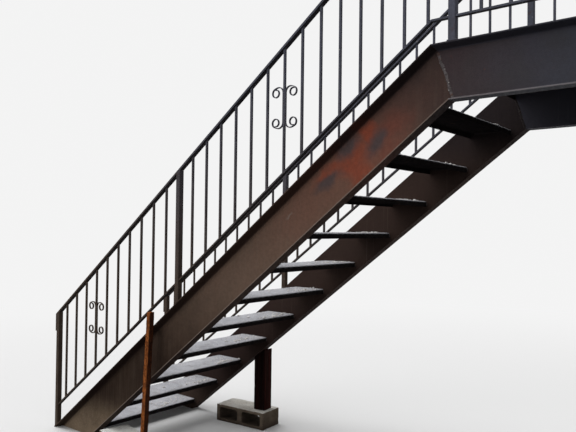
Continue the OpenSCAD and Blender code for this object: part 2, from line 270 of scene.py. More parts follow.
def spots(place, ovals):
    """Where any of the ovals on the near web is, each an X, Z, half length and half height."""
    mask = 0.0
    for x, z, length, height in ovals:
        mask = arithmetic("MAXIMUM", spot(place, (x, -WEB_OUTER_Y, z), (length, 0.25, height)), mask)
    return mask


def weathered(place, coat, painted_shade, dusty, worn, streaky):
    """Takes a coat through the weather: faint upright streaks, painted shade on inner sides with a few pale
    drips over it, a painted highlight on lower toes and painted shade on upper ones, painted shade on
    undersides, dust on tops, and rubbed edges."""
    streaks = times(use(place, "streaks", Width=0.02, Length=0.45, Softness=0.16),
                    use(place, "patches", Size=0.3, Softness=0.1))
    coat = lay(coat, streaks, streaky, dusty)
    inner = use(place, "inner sides")
    # Painted shade on the sides that face the stair's middle.
    coat = lay(coat, inner, 0.85, painted_shade)
    drips = use(place, "streaks", Width=0.007, Length=0.9, Cover=0.1, Softness=0.03)
    coat = lay(coat, times(drips, inner), 0.3, dusty)
    at = parts_of(place)
    # Toes: a painted highlight in the worn colour on the lower flange's toes, and painted shade on the
    # upper ones.
    painted_toe_light_and_shade = ramp(arithmetic("ABSOLUTE", at["Y"]), TOE_Y - 0.004, TOE_Y - 0.001)
    before_knee = arithmetic("MINIMUM", arithmetic("SUBTRACT", at["X"], KNEE_X), 0.0)
    channel_top = arithmetic("MULTIPLY_ADD", before_knee, GRADE, CHANNEL_TOP_Z)
    depth = arithmetic("SUBTRACT", channel_top, at["Z"])
    lower = ramp(depth, 0.5 * CHANNEL_DEPTH, 0.7 * CHANNEL_DEPTH)
    coat = lay(coat, painted_toe_light_and_shade, 0.6, blend(lower, painted_shade, worn))
    # Painted shade on undersides.
    coat = lay(coat, use(place, "facing", Toward=DOWN, Low=0.2, High=0.65), 0.75, painted_shade)
    settled = times(use(place, "facing", Toward=UP, Low=0.4, High=0.9),
                    use(place, "patches", Size=0.03, Cover=0.6, Softness=0.25))
    coat = lay(coat, settled, 0.6, dusty)
    return lay(coat, use(place, "worn edges", Radius=0.003, Size=0.02, Cover=0.5), 0.65, worn)


RED_SPOTS = [(-1.945, -0.345, 0.17, 0.13), (-2.065, -0.395, 0.20, 0.08), (-1.905, -0.400, 0.12, 0.12),
             (-1.860, -0.225, 0.075, 0.08)]
DIM_RED_SPOTS = [(-1.750, -0.245, 0.21, 0.12), (-1.730, -0.340, 0.15, 0.09)]
GREY_SPOTS = [(-1.972, -0.278, 0.11, 0.055), (-1.795, -0.270, 0.10, 0.08), (-2.082, -0.458, 0.15, 0.05)]
PALE_SMEAR = (-2.340, -0.628, 0.035, 0.012)


def stringer_paint():
    """Brown-black coat, darker towards the foot and the knee, with red primer where it wore through in
    cloudy spots, grey coat between them, and splashed soil at the foot. The darkening at the foot is partly
    painted shadow of the near prop, and a broad lighter spot on the near web below the knee is painted
    light."""
    material, shader, place = start_material("stringer_paint")
    height = parts_of(place)["Z"]
    cloudy = use(place, "patches", Size=0.3)
    fine = use(place, "patches", Size=0.02)
    coat = blend(cloudy, srgb(94, 79, 68), srgb(106, 86, 74))
    # Darker towards the foot: partly a darker coat, partly the near prop's painted shadow.
    foot_coat_and_prop_shadow = blend(cloudy, srgb(43, 32, 26), srgb(53, 41, 33))
    coat = blend(ramp(height, -0.95, -1.60), coat, foot_coat_and_prop_shadow)
    knee_coat = blend(cloudy, srgb(63, 52, 50), srgb(69, 54, 50))
    coat = blend(ramp(height, -0.42, -0.10), coat, knee_coat)
    waves = wavy(place, 0.12, 0.035)
    # Painted light: a broad lighter spot on the near web below the knee.
    painted_light_spot = spot(waves, (-2.05, -WEB_OUTER_Y, -0.42), (0.80, 0.3, 0.26))
    coat = lay(coat, painted_light_spot, 0.7, srgb(114, 80, 68))
    coat = lay(coat, spots(waves, DIM_RED_SPOTS), 0.55, srgb(122, 66, 54))
    torn = ramp(use(place, "patches", Size=0.07, Cover=0.75), 0.0, 1.0, 0.55, 1.0)
    coat = lay(coat, times(spots(waves, RED_SPOTS), torn), 0.85, srgb(138, 69, 50))
    coat = lay(coat, spots(waves, GREY_SPOTS), 0.9, srgb(77, 69, 70))
    coat = lay(coat, fine, 0.18, srgb(52, 45, 43))
    coat = lay(coat, spots(wavy(place, 0.03, 0.01), [PALE_SMEAR]), 0.5, srgb(130, 120, 112))
    low = ramp(height, GROUND_Z + 0.34, GROUND_Z + 0.04)
    soil = times(low, use(place, "patches", Size=0.14, Cover=0.9, Softness=0.35))
    coat = lay(coat, soil, 0.8, srgb(130, 113, 94))
    spatter = times(low, use(place, "patches", Size=0.012, Cover=0.35, Softness=0.1))
    coat = lay(coat, spatter, 0.25, srgb(150, 134, 114))
    splash = times(use(place, "streaks", Width=0.018, Length=0.3, Cover=0.45),
                   ramp(height, GROUND_Z + 0.6, GROUND_Z + 0.1))
    coat = lay(coat, splash, 0.15, srgb(118, 104, 90))
    # Painted shade for the inner faces, upper toes and undersides, darker near the knee.
    painted_shade = blend(ramp(height, -0.45, -0.05), srgb(47, 36, 34), srgb(33, 30, 32))
    coat = weathered(place, coat, painted_shade, srgb(104, 93, 84), srgb(116, 104, 96), 0.12)
    grain = use(place, "patches", Size=0.006, Softness=0.3)
    finish_material(shader, coat, fine, (0.55, 0.75), grain, 0.0003)
    return material


def dress(names, material):
    """Puts a material on the CAD nodes of those names."""
    for name in names:
        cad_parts[name].material_slots[0].material = material


dress(["near_stringer", "far_stringer"], stringer_paint())


# Landing channels: the same channel, level past a mitred knee. The coat has worn less and cools from a
# reddish black at the knee to a bluish one near the wall, the blue a painted reflection of the sky.
def landing_paint():
    """Reddish black that turns bluish with the distance from the knee, the blue a painted sky reflection,
    freckled with rust, with painted shade on inner sides and undersides.
    """
    material, shader, place = start_material("landing_paint")
    away = parts_of(wavy(place, 0.2, 0.05))["X"]
    # The bluish tone towards the wall is a painted reflection of the sky.
    coat = blend(ramp(away, KNEE_X, KNEE_X + 0.65), srgb(67, 56, 58), srgb(63, 65, 74))
    coat = lay(coat, use(place, "patches", Size=0.16), 0.4, srgb(60, 58, 58))
    freckles = use(place, "patches", Size=0.03, Cover=0.12, Softness=0.05, Detail=8.0)
    coat = lay(coat, freckles, 0.6, srgb(88, 58, 50))
    fine = use(place, "patches", Size=0.012)
    coat = lay(coat, fine, 0.15, srgb(48, 45, 48))
    # The second colour is painted shade for the inner sides, upper toes and undersides.
    coat = weathered(place, coat, srgb(60, 60, 68), srgb(96, 94, 97), srgb(122, 117, 119), 0.04)
    grain = use(place, "patches", Size=0.005, Softness=0.3)
    finish_material(shader, coat, fine, (0.45, 0.65), grain, 0.0003)
    return material


LANDING_PAINT = landing_paint()
dress(["near_landing_channel", "far_landing_channel"], LANDING_PAINT)


# Knee welds: hand-laid beads over each web's mitre, outside and inside, and across both flanges. They
# wander and swell, and hold more pale dust than the coat round them.
def new_object(name, data):
    """A new object at the origin of the scene."""
    made = bpy.data.objects.new(name, data)
    bpy.context.scene.collection.objects.link(made)
    return made


def close_seams(source, target):
    """Copies a mesh into another with points that lie together merged, to close seams and poles."""
    shape = bmesh.new()
    shape.from_mesh(source)
    bmesh.ops.remove_doubles(shape, verts=shape.verts, dist=1e-6)
    shape.to_mesh(target)
    shape.free()


def put_mesh(name, points, faces, material, slot):
    """A piece of points and faces that rides on the stair, in that material; the slot is not used."""
    mesh = bpy.data.meshes.new(name)
    mesh.from_pydata(points, [], faces)
    close_seams(mesh, mesh)
    mesh.polygons.foreach_set("use_smooth", np.ones(len(mesh.polygons), bool))
    mesh.materials.append(material)
    mesh.update()
    piece = new_object(name, mesh)
    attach(piece, "root")
    return piece


def grid_faces(rows, columns, closed=False):
    """Quads of a grid of points, row by row. A closed grid joins its last column to its first."""
    spans = columns if closed else columns - 1
    row, left = np.meshgrid(np.arange(rows - 1) * columns, np.arange(spans), indexing="ij")
    right = (left + 1) % columns
    quads = [row + left, row + columns + left, row + columns + right, row + right]
    return np.stack(quads, 2).reshape(-1, 4)


def repeated(faces, copies, points_each):
    """The faces of one shape, renumbered for many copies of it."""
    return (faces + np.arange(copies)[:, None, None] * points_each).reshape(-1, faces.shape[1])


def spaced(path, count):
    """Points evenly spaced along a path of straight runs, and their distances along it."""
    path = np.asarray(path, float)
    along = np.concatenate([[0], np.cumsum(np.linalg.norm(np.diff(path, axis=0), axis=1))])
    s = np.linspace(0, along[-1], count)
    return np.stack([np.interp(s, along, column) for column in path.T], 1), s


def weld_bead(path, across, out, rng, width, height, half_round=True, step=0.004):
    """Points and faces of one bead. Round each of its points the bead's edge is width * cos(t) * across +
    height * sin(t) * out, for t over a half turn on a flat face or a quarter turn in a corner. Both sizes
    swell and shrink with the ripple of the weld, and run out to nothing at the ends."""
    length = np.linalg.norm(np.diff(np.asarray(path, float), axis=0), axis=1).sum()
    centre, s = spaced(path, max(4, int(length / step)))
    ends = np.sqrt(np.clip(np.minimum(s, length - s) / (1.5 * width), 0.0, 1))
    swell = ends * (1 + 0.14 * np.sin(2 * np.pi * s / 0.007) + rng.uniform(-0.22, 0.22, len(s)))
    t = np.linspace(0, np.pi if half_round else np.pi / 2, 7 if half_round else 5)
    ring = (width * np.cos(t)[:, None] * np.asarray(across, float)
            + height * np.sin(t)[:, None] * np.asarray(out, float))
    points = centre[:, None, :] + swell[:, None, None] * ring[None, :, :]
    faces = grid_faces(len(s), len(t))
    turned = np.dot(np.cross(centre[-1] - centre[0], np.asarray(across, float)), out) > 0
    return points.reshape(-1, 3), faces[:, ::-1] if turned else faces


def join_parts(parts):
    """One list of points and one of renumbered faces from many."""
    starts = np.cumsum([0] + [len(points) for points, _ in parts[:-1]])
    faces = []
    for start, (_, part) in zip(starts, parts):
        faces += (np.asarray(part) + start).tolist()
    return np.concatenate([points for points, _ in parts]), faces


def weld_paint():
    """Dull grey metal and old paint in small bits, with bright dots of dust, some rust, and painted shade
    on undersides and inner sides.
    """
    material, shader, place = start_material("weld_paint")
    bits = use(place, "patches", Size=0.012, Softness=0.15)
    coat = blend(bits, srgb(74, 68, 68), srgb(104, 98, 99))
    rust = use(place, "patches", Size=0.025, Cover=0.3, Softness=0.08)
    coat = lay(coat, rust, 0.6, srgb(92, 66, 56))
    coat = lay(coat, use(place, "specks", Size=0.003, Share=0.45), 0.7, srgb(176, 172, 168))
    # Painted shade on undersides and inner sides.
    coat = lay(coat, use(place, "facing", Toward=DOWN, Low=0.2, High=0.7), 0.85, srgb(38, 34, 34))
    coat = lay(coat, use(place, "inner sides"), 0.85, srgb(34, 29, 29))
    finish_material(shader, coat, bits, (0.5, 0.7), bits, 0.0004)
    return material


WELD_PAINT = weld_paint()
KNEE_RUN = math.tan(SLOPE / 2)
KNEE_ACROSS = (math.cos(SLOPE / 2), 0, math.sin(SLOPE / 2))
OUTER_BEAD = {"width": 0.0072, "height": 0.003}
THIN_BEAD = {"width": 0.006, "height": 0.002}
FLANGE_SIDES = (WEB_INNER_Y + 0.002, TOE_Y - 0.002)


def knee_line(start, end, y, wander):
    """Points down the mitre from one depth below the channels' top to another, straying on the way."""
    depth = np.linspace(start, end, 24)
    stray = wander * (np.sin(2 * np.pi * depth / 0.15 + 2.2) + 0.5 * np.sin(2 * np.pi * depth / 0.041))
    return np.stack([KNEE_X + depth * KNEE_RUN + stray, np.full_like(depth, y), CHANNEL_TOP_Z - depth], 1)


rng = np.random.default_rng(7)
low_knee_x = KNEE_X + CHANNEL_DEPTH * KNEE_RUN
low_knee_z = CHANNEL_TOP_Z - CHANNEL_DEPTH
for side, name in ((-1, "near_knee_welds"), (1, "far_knee_welds")):
    down_web = knee_line(0.024, 0.242, side * WEB_OUTER_Y, wander=0.0022)
    down_inside = knee_line(0.058, 0.250, side * WEB_INNER_Y, wander=0.0015)
    over_flange = [[KNEE_X, side * y, CHANNEL_TOP_Z] for y in FLANGE_SIDES]
    under_flange = [[low_knee_x, side * y, low_knee_z] for y in FLANGE_SIDES]
    parts = [weld_bead(down_web, KNEE_ACROSS, (0, side, 0), rng, **OUTER_BEAD),
             weld_bead(down_inside, KNEE_ACROSS, (0, -side, 0), rng, **THIN_BEAD),
             weld_bead(over_flange, (1, 0, 0), UP, rng, **THIN_BEAD),
             weld_bead(under_flange, (1, 0, 0), DOWN, rng, **THIN_BEAD)]
    put_mesh(name, *join_parts(parts), WELD_PAINT, "landing_paint")


# Wall plate: 12 mm plate welded across the ends of the landing channels, with one hexagon-headed anchor
# bolt and a washer at each of its four holes.
PLATE_FACE_X = -0.012
ANCHOR_Y = 0.35
ANCHOR_Z = 0.075
ANCHOR = {"across_flats": 0.024, "head": 0.010, "washer_radius": 0.017, "washer": 0.003}


def hexagon_bolt(x, y, z, across_flats, head, washer_radius, washer):
    """Points and faces of a bolt head on its washer, seen from -X. The outline at the turn t is a circle
    for the washer and across_flats / 2 / cos(angle to the middle of the flat) for the head, carried along
    a stepped profile of distances from the plate."""
    t = np.linspace(0, 2 * np.pi, 25)
    flat = across_flats / 2 / np.cos((t + np.pi / 6) % (np.pi / 3) - np.pi / 6)
    disc = np.full_like(t, washer_radius)
    chamfer = np.minimum(flat, across_flats / 2 * 1.04)
    rings = [(disc, 0.0), (disc, washer * 0.8), (disc * 0.96, washer), (flat, washer),
             (flat, washer + head * 0.85), (chamfer * 0.95, washer + head), (chamfer * 0.0, washer + head)]
    points = [np.stack([np.full_like(t, x - out), y + r * np.cos(t), z + r * np.sin(t)], 1)
              for r, out in rings]
    return np.concatenate(points), grid_faces(len(rings), len(t))[:, ::-1]


dress(["wall_plate"], LANDING_PAINT)
anchors = [hexagon_bolt(PLATE_FACE_X, y, z, **ANCHOR)
           for y in (-ANCHOR_Y, ANCHOR_Y) for z in (-ANCHOR_Z, ANCHOR_Z)]
put_mesh("anchor_bolts", *join_parts(anchors), LANDING_PAINT, "landing_paint")


# Treads: checker plate bent down at the nose and the rear edge, welded between the webs. The tops are
# frosted with pale dust and grit, with loose crumbs swept to their far ends. The lips and undersides keep
# their black coat.
TREAD_COUNT = 11
TREAD_DEPTH = 0.240
TREAD_LIP = 0.032
BEND_RADIUS = 0.008
PLATE_T = 0.005
FIRST_REAR = 0.446
FIRST_HEIGHT = 0.088
FOOT_X = KNEE_X - (CHANNEL_TOP_Z - GROUND_Z) / GRADE
TREADS = [(FOOT_X + FIRST_REAR + i * GOING, GROUND_Z + FIRST_HEIGHT + i * RISE) for i in range(TREAD_COUNT)]
CORNER_BEAD = {"width": 0.005, "height": 0.005, "half_round": False}
BEAD_INSET = 0.02
HEAPED, STREWN, LARGE = 30, 60, 10


def tread_plate():
    """Black coat, and pale dust on what faces up, with grit, dark stains and bare plate at the edges."""
    material, shader, place = start_material("tread_plate", 0.0)
    coat = blend(use(place, "patches", Size=0.05, Softness=0.25), srgb(30, 27, 28), srgb(40, 36, 36))
    rust = use(place, "patches", Size=0.04, Cover=0.2, Softness=0.08)
    coat = lay(coat, rust, 0.5, srgb(58, 42, 36))
    rubbed = use(place, "worn edges", Radius=0.002, Size=0.01)
    coat = lay(coat, rubbed, 0.35, srgb(96, 94, 95))
    drift = use(place, "patches", Size=0.12, Softness=0.25)
    dust = blend(drift, srgb(176, 177, 183), srgb(198, 198, 203))
    fine = use(place, "patches", Size=0.006, Cover=0.45)
    dust = lay(dust, fine, 0.4, srgb(112, 110, 114))
    stain = use(place, "patches", Size=0.09, Cover=0.3, Softness=0.1)
    dust = lay(dust, stain, 0.35, srgb(108, 102, 99))
    dust = lay(dust, use(place, "specks", Size=0.0025, Share=0.4), 0.75, srgb(228, 225, 220))
    dust = lay(dust, use(place, "specks", Size=0.004, Share=0.15), 0.7, srgb(66, 58, 52))
    bare = use(place, "worn edges", Radius=0.004, Size=0.015)
    dust = lay(dust, bare, 0.4, srgb(100, 98, 100))
    coat = blend(use(place, "facing", Toward=UP, Low=0.3, High=0.7), coat, dust)
    finish_material(shader, coat, fine, (0.55, 0.8), fine, 0.0002)
    return material


TREAD_PLATE = tread_plate()
dress([f"tread_{i + 1}" for i in range(TREAD_COUNT)], TREAD_PLATE)


def bend_plate(s, h, nose_x, depth, z, rear_bend):
    """Where a point of the flat plate goes when its edges are bent down. s is the distance over the plate
    from the nose lip's lower edge, and h the height over its face. Up the nose lip, round a quarter turn,
    flat along the top, and where rear_bend is set round another quarter turn and down."""
    lip = TREAD_LIP - BEND_RADIUS
    turn = BEND_RADIUS * np.pi / 2
    flat = depth - BEND_RADIUS * (2 if rear_bend else 1)
    front = np.clip((s - lip) / turn, 0, 1) * np.pi / 2
    rear = np.clip((s - lip - turn - flat) / turn, 0, 1) * np.pi / 2 * bool(rear_bend)
    run = np.clip(s - lip - turn, 0, flat)
    reach = BEND_RADIUS + h
    x = nose_x + BEND_RADIUS + run - reach * np.cos(front) + reach * np.sin(rear)
    fall = np.clip(lip - s, 0, None) + np.clip(s - lip - 2 * turn - flat, 0, None) * bool(rear_bend)
    top = z - BEND_RADIUS + reach * np.minimum(np.sin(front), np.cos(rear))
    return x, top - fall


def lugs(nose_x, depth, z, rear_bend, pitch=0.0245, half_length=0.0125, half_width=0.0046, height=0.0019):
    """Raised lugs of checker plate, each a lens turned 45 degrees one way or the other in turn. Over its
    length u from -1 to 1, a lug's half width is half_width * (1 - u^2) and its ridge's height is
    height * (1 - u^4), and the whole pattern is carried round the bends of the plate."""
    lip = TREAD_LIP - BEND_RADIUS
    length = lip + BEND_RADIUS * np.pi / 2 + depth - BEND_RADIUS
    length += BEND_RADIUS * (np.pi / 2 - 1) + lip if rear_bend else 0.0
    across = np.arange(-WEB_INNER_Y + 0.6 * pitch, WEB_INNER_Y - 0.4 * pitch, pitch)
    over = np.arange(0.45 * pitch, length - 0.35 * pitch, pitch)
    j, i = np.meshgrid(np.arange(len(across)), np.arange(len(over)))
    turn = np.where((i + j) % 2, 1, -1).ravel()[:, None] * np.pi / 4
    u = np.array([-1, -0.75, -0.75, -0.75, -0.3, -0.3, -0.3, 0.3, 0.3, 0.3, 0.75, 0.75, 0.75, 1])
    v = np.array([0, -1, 0, 1, -1, 0, 1, -1, 0, 1, -1, 0, 1, 0])
    a = u * half_length
    b = v * half_width * (1 - u ** 2)
    h = height * (1 - u ** 4) * (v == 0)
    s = over[i.ravel()][:, None] + a * np.cos(turn) - b * np.sin(turn)
    y = across[j.ravel()][:, None] + a * np.sin(turn) + b * np.cos(turn)
    s = np.clip(s, 0.001, length - 0.001)
    x, up = bend_plate(s, np.broadcast_to(h, s.shape), nose_x, depth, z, rear_bend)
    lens = [(0, 2, 1), (0, 3, 2)]
    lens += [(k + n, k + n + 1, k + n + 4, k + n + 3) for k in (1, 4, 7) for n in (0, 1)]
    lens += [(10, 11, 13), (11, 12, 13)]
    faces = [[p + len(u) * k for p in face[::-1]] for k in range(len(turn)) for face in lens]
    return np.stack([x, y, up], 2).reshape(-1, 3), faces


def grit_places(rear_x, top, rng):
    """Middles and sizes of a tread's crumbs: a heap by the rear edge towards the far end, and crumbs
    strewn all over, thicker towards the far web. The first of the heap are the largest."""
    heap = np.stack([rear_x - rng.uniform(0.02, 0.07) + rng.normal(0, 0.018, HEAPED),
                     rng.uniform(0.20, 0.36) + rng.normal(0, 0.06, HEAPED)], 1)
    strewn = np.stack([rng.uniform(rear_x - 0.225, rear_x - 0.012, STREWN),
                       WEB_INNER_Y - rng.exponential(0.16, STREWN)], 1)
    limit = WEB_INNER_Y - 0.008
    flat = np.clip(np.concatenate([heap, strewn]), (rear_x - 0.228, -limit), (rear_x - 0.010, limit))
    sizes = rng.uniform(0.0015, 0.0042, len(flat)) + rng.exponential(0.0014, len(flat))
    sizes[:LARGE] += rng.uniform(0.002, 0.006, LARGE)
    return np.column_stack([flat, top + 0.35 * sizes]), sizes


def crumbs(middles, sizes, rng):
    """Points and faces of many lumps at once. Each is r * (sin(a) cos(b), sin(a) sin(b), 0.5 cos(a)), with
    the reach r scattered round its size so that it looks broken."""
    a = np.linspace(0, np.pi, 5)[:, None]
    b = np.linspace(0, 2 * np.pi, 6, endpoint=False)[None, :]
    ball = np.stack([np.sin(a) * np.cos(b), np.sin(a) * np.sin(b), 0.5 * np.cos(a) * np.ones_like(b)], 2)
    reach = sizes[:, None, None, None] * np.ones((1, *ball.shape[:2], 1))
    reach[:, 1:-1] *= rng.uniform(0.5, 1.3, (len(sizes), ball.shape[0] - 2, ball.shape[1], 1))
    points = middles[:, None, None, :] + reach * ball[None]
    faces = grid_faces(*ball.shape[:2], closed=True)
    return points.reshape(-1, 3), repeated(faces, len(sizes), ball.shape[0] * ball.shape[1])


def loose_grit():
    """Off-white crumbs of grit, greyer where they are damp."""
    material, shader, place = start_material("loose_grit")
    damp = use(place, "patches", Size=0.03, Cover=0.45, Softness=0.15)
    fine = use(place, "patches", Size=0.002)
    colour = blend(damp, srgb(246, 245, 243), srgb(206, 200, 194))
    colour = lay(colour, fine, 0.3, srgb(120, 112, 104))
    finish_material(shader, colour, damp, (0.9, 0.7), fine, 0.0003)
    return material


LOOSE_GRIT = loose_grit()
for i, (rear_x, top) in enumerate(TREADS, 1):
    nose_x = rear_x - TREAD_DEPTH
    put_mesh(f"tread_{i}_lugs", *lugs(nose_x, TREAD_DEPTH, top, True), TREAD_PLATE, "tread_plate")
    parts = []
    for side in (-1, 1):
        y = side * WEB_INNER_Y
        inward = (0, -side, 0)
        under = [[x, y, top - PLATE_T] for x in (nose_x + BEAD_INSET, rear_x - BEAD_INSET)]
        lip, nose = ([[x, y, top - d] for d in (BEND_RADIUS, TREAD_LIP)] for x in (rear_x, nose_x))
        parts += [weld_bead(under, inward, DOWN, rng, step=0.006, **CORNER_BEAD),
                  weld_bead(lip, inward, (1, 0, 0), rng, **CORNER_BEAD),
                  weld_bead(nose, inward, (-1, 0, 0), rng, **CORNER_BEAD)]
    put_mesh(f"tread_{i}_welds", *join_parts(parts), WELD_PAINT, "tread_plate")
    put_mesh(f"tread_{i}_crumbs", *crumbs(*grit_places(rear_x, top, rng), rng), LOOSE_GRIT, "tread_plate")


# Landing deck: the same checker plate with a bent nose, dusty on top, welded between the channels and
# carried on two small channel bearers between the webs.
deck_low, deck_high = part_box("landing_deck")
dress(["landing_deck"], TREAD_PLATE)
dress(["deck_bearer_1", "deck_bearer_2"], LANDING_PAINT)
deck_lugs = lugs(deck_low[0], PLATE_FACE_X - deck_low[0], deck_high[2], False)
put_mesh("landing_deck_lugs", *deck_lugs, TREAD_PLATE, "tread_plate")


# Railing: square tube posts, square pickets, flat bar rails and curled strip scrolls, welded up and
# brushed black. The coat has gone grey-brown low down and is blue-black above, the blue a painted
# reflection of the sky, with freckles of rust, rubbed edges and painted shade on the undersides.
RAILING_PARTS = ("top_rail", "bottom_rail", "foot_post", "mid_post", "knee_post", "wall_post",
                 "lower_pickets", "upper_pickets", "landing_pickets", "lower_scrolls", "upper_scrolls")
BAYS = ("lower", "upper", "landing")
POSTS = ("foot", "mid", "knee", "wall")
POST_HALF = 0.017
POST_WELD = 0.005
PICKET_WELD = 0.0028


def railing_paint():
    """Brush-thick black in two tones, browner low down and bluish above as a painted sky reflection,
    freckled with rust, with painted shade on undersides.
    """
    material, shader, place = start_material("railing_paint")
    tone = use(place, "patches", Size=0.09)
    low = blend(tone, srgb(70, 60, 53), srgb(80, 69, 61))
    # The bluish tone above is a painted reflection of the sky.
    high = blend(tone, srgb(73, 75, 84), srgb(86, 88, 100))
    coat = blend(ramp(parts_of(place)["Z"], -1.2, 0.3), low, high)
    freckles = use(place, "patches", Size=0.03, Cover=0.2, Softness=0.1, Detail=8.0)
    coat = lay(coat, freckles, 0.5, srgb(80, 54, 43))
    coat = lay(coat, use(place, "specks", Size=0.003, Share=0.008), 0.8, srgb(170, 164, 156))
    fine = use(place, "patches", Size=0.008)
    coat = lay(coat, fine, 0.2, srgb(40, 36, 35))
    # Painted shade on undersides.
    coat = lay(coat, use(place, "facing", Toward=DOWN, Low=0.2, High=0.7), 0.8, srgb(30, 26, 26))
    coat = lay(coat, use(place, "facing", Toward=UP, Low=0.4, High=0.9), 0.4, srgb(112, 106, 102))
    edges = use(place, "worn edges", Radius=0.002, Size=0.012, Cover=0.55)
    coat = lay(coat, edges, 0.25, srgb(104, 97, 92))
    finish_material(shader, coat, fine, (0.45, 0.65), fine, 0.0003)
    return material


def picket_ends(node):
    """Middle, half width and cut slope of both ends of each picket in a node, read from its corners."""
    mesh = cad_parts[node].data
    corners = np.empty(3 * len(mesh.vertices))
    mesh.vertices.foreach_get("co", corners)
    corners = corners.reshape(-1, 3)
    edges, which = np.unique(np.round(corners[:, 0], 4), return_inverse=True)
    low, high = np.full(len(edges), np.inf), np.full(len(edges), -np.inf)
    np.minimum.at(low, which, corners[:, 2])
    np.maximum.at(high, which, corners[:, 2])
    left, right = edges.reshape(-1, 2).T
    y = np.full(len(left), (corners[:, 1].min() + corners[:, 1].max()) / 2)
    ends = []
    for level in (low, high):
        z = level.reshape(-1, 2)
        ends.append((np.stack([(left + right) / 2, y, z.mean(1)], 1), (z[:, 1] - z[:, 0]) / (right - left)))
    return ends, (right - left).mean() / 2


def ring_welds(middles, half, slope, up, size, rng, outer_y=TOE_Y + 0.0015):
    """Fillets round square bars, many at once. At the turn t round a bar and p up the fillet the surface
    is the bar's corner + size * (cos(p) cos(t), cos(p) sin(t), up * sin(p)), lifted by the slope of the
    face that it stands on. Each size strays by a third, and no fillet reaches past the channels' toes or
    into the ground."""
    corner = np.repeat(np.arange(4), 3) * np.pi / 2 + np.pi / 4
    t = corner + np.tile([-np.pi / 4, 0, np.pi / 4], 4)
    p = np.linspace(0, np.pi / 2, 4)[:, None]
    reach = size * rng.uniform(0.67, 1.33, (len(middles), 1, len(t)))
    x = half * np.sqrt(2) * np.cos(corner) + reach * np.cos(p) * np.cos(t)
    y = half * np.sqrt(2) * np.sin(corner) + reach * np.cos(p) * np.sin(t)
    z = slope[:, None, None] * x + up * reach * np.sin(p)
    points = middles[:, None, None, :] + np.stack([x, y, z], 3)
    points[..., 1] = np.clip(points[..., 1], -outer_y, outer_y)
    points[..., 2] = np.maximum(points[..., 2], GROUND_Z)
    faces = grid_faces(len(p), len(t), closed=True)
    faces = faces if up < 0 else faces[:, ::-1]
    return points.reshape(-1, 3), repeated(faces, len(middles), len(p) * len(t))


RAILING_PAINT = railing_paint()
for side in ("near", "far"):
    dress([f"{side}_{part}" for part in RAILING_PARTS], RAILING_PAINT)
    parts = []
    for bay in BAYS:
        (feet, tops), half = picket_ends(f"{side}_{bay}_pickets")
        parts += [ring_welds(feet[0], half, feet[1], 1, PICKET_WELD, rng),
                  ring_welds(tops[0], half, tops[1], -1, PICKET_WELD, rng)]
    boxes = [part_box(f"{side}_{post}_post") for post in POSTS]
    middles = np.array([[(low[0] + high[0]) / 2, (low[1] + high[1]) / 2, 0] for low, high in boxes])
    middles[:, 2] = CHANNEL_TOP_Z + GRADE * np.minimum(middles[:, 0] - KNEE_X, 0)
    grades = np.where(middles[:, 0] < KNEE_X, GRADE, 0.0)
    parts.append(ring_welds(middles, POST_HALF, grades, 1, POST_WELD, rng))
    put_mesh(f"{side}_railing_welds", *join_parts(parts), RAILING_PAINT, "railing_paint")


# Near prop: a rusty steel bar that leans in front of the near stringer, standing on its block. Its faces
# are knobby with rust scale.
def cloud(points, size, seed):
    """Smooth random value from -1 to 1 at each point: random values on a net of that spacing, blended
    between the eight corners round the point with the weights w * w * (3 - 2 * w)."""
    net = np.random.default_rng(seed).uniform(-1, 1, (31, 31, 31))
    place = points / np.asarray(size, float)
    corner = np.floor(place).astype(int)
    w = place - corner
    w = w * w * (3 - 2 * w)
    total = np.zeros(len(points))
    for step in np.ndindex(2, 2, 2):
        share = np.prod(np.where(step, w, 1 - w), axis=1)
        total += share * net[tuple(((corner + step) % len(net)).T)]
    return total


def square_outline(side, corner, turn, count):
    """Points round a square with rounded corners, turned, and the way out at each: four quarter arcs
    joined by straight sides, cut evenly."""
    t = np.arange(4)[:, None] * np.pi / 2 + np.linspace(0, np.pi / 2, 6)[None, :]
    middle = np.arange(4)[:, None] * np.pi / 2 + np.pi / 4
    inner = side / 2 - corner
    reach = inner * np.sqrt(2)
    arcs = np.stack([reach * np.cos(middle) + corner * np.cos(t),
                     reach * np.sin(middle) + corner * np.sin(t)], 2)
    closed = np.concatenate([arcs.reshape(-1, 2), arcs[0, :1]])
    points = spaced(closed, count + 1)[0][:-1]
    out = points - np.clip(points, -inner, inner)
    out /= np.linalg.norm(out, axis=1)[:, None]
    spin = np.array([[math.cos(turn), math.sin(turn)], [-math.sin(turn), math.cos(turn)]])
    return points @ spin, out @ spin


def upright_bar(foot, lean, top_z, side, corner, turn, dent, step=0.005, count=64):
    """A square outline carried up from its foot, shifted by lean in X for each metre of height, to the
    height that top_z gives for each point of the outline. Every point is then pushed inwards by the depth
    that dent gives for its place. Both ends are closed by rings that shrink to a point."""
    outline, out = square_outline(side, corner, turn, count)
    at = outline + foot[:2]
    crown = top_z(at[:, 0])
    v = np.linspace(0, 1, max(2, int((crown.max() - foot[2]) / step)))[:, None]
    z = foot[2] + v * (crown - foot[2])
    body = np.stack([at[:, 0] + lean * (z - foot[2]), np.broadcast_to(at[:, 1], z.shape), z], 2)
    depth = dent(body.reshape(-1, 3)).reshape(z.shape)
    body[..., :2] -= out * depth[..., None]
    shrink = np.array([0.96, 0.7, 0.35, 0.0])[:, None, None]
    bottom, top = (ring.mean(0) + shrink * (ring - ring.mean(0)) for ring in (body[0], body[-1]))
    rows = np.concatenate([bottom[::-1], body, top])
    return rows.reshape(-1, 3), grid_faces(len(rows), count, closed=True)[:, ::-1]


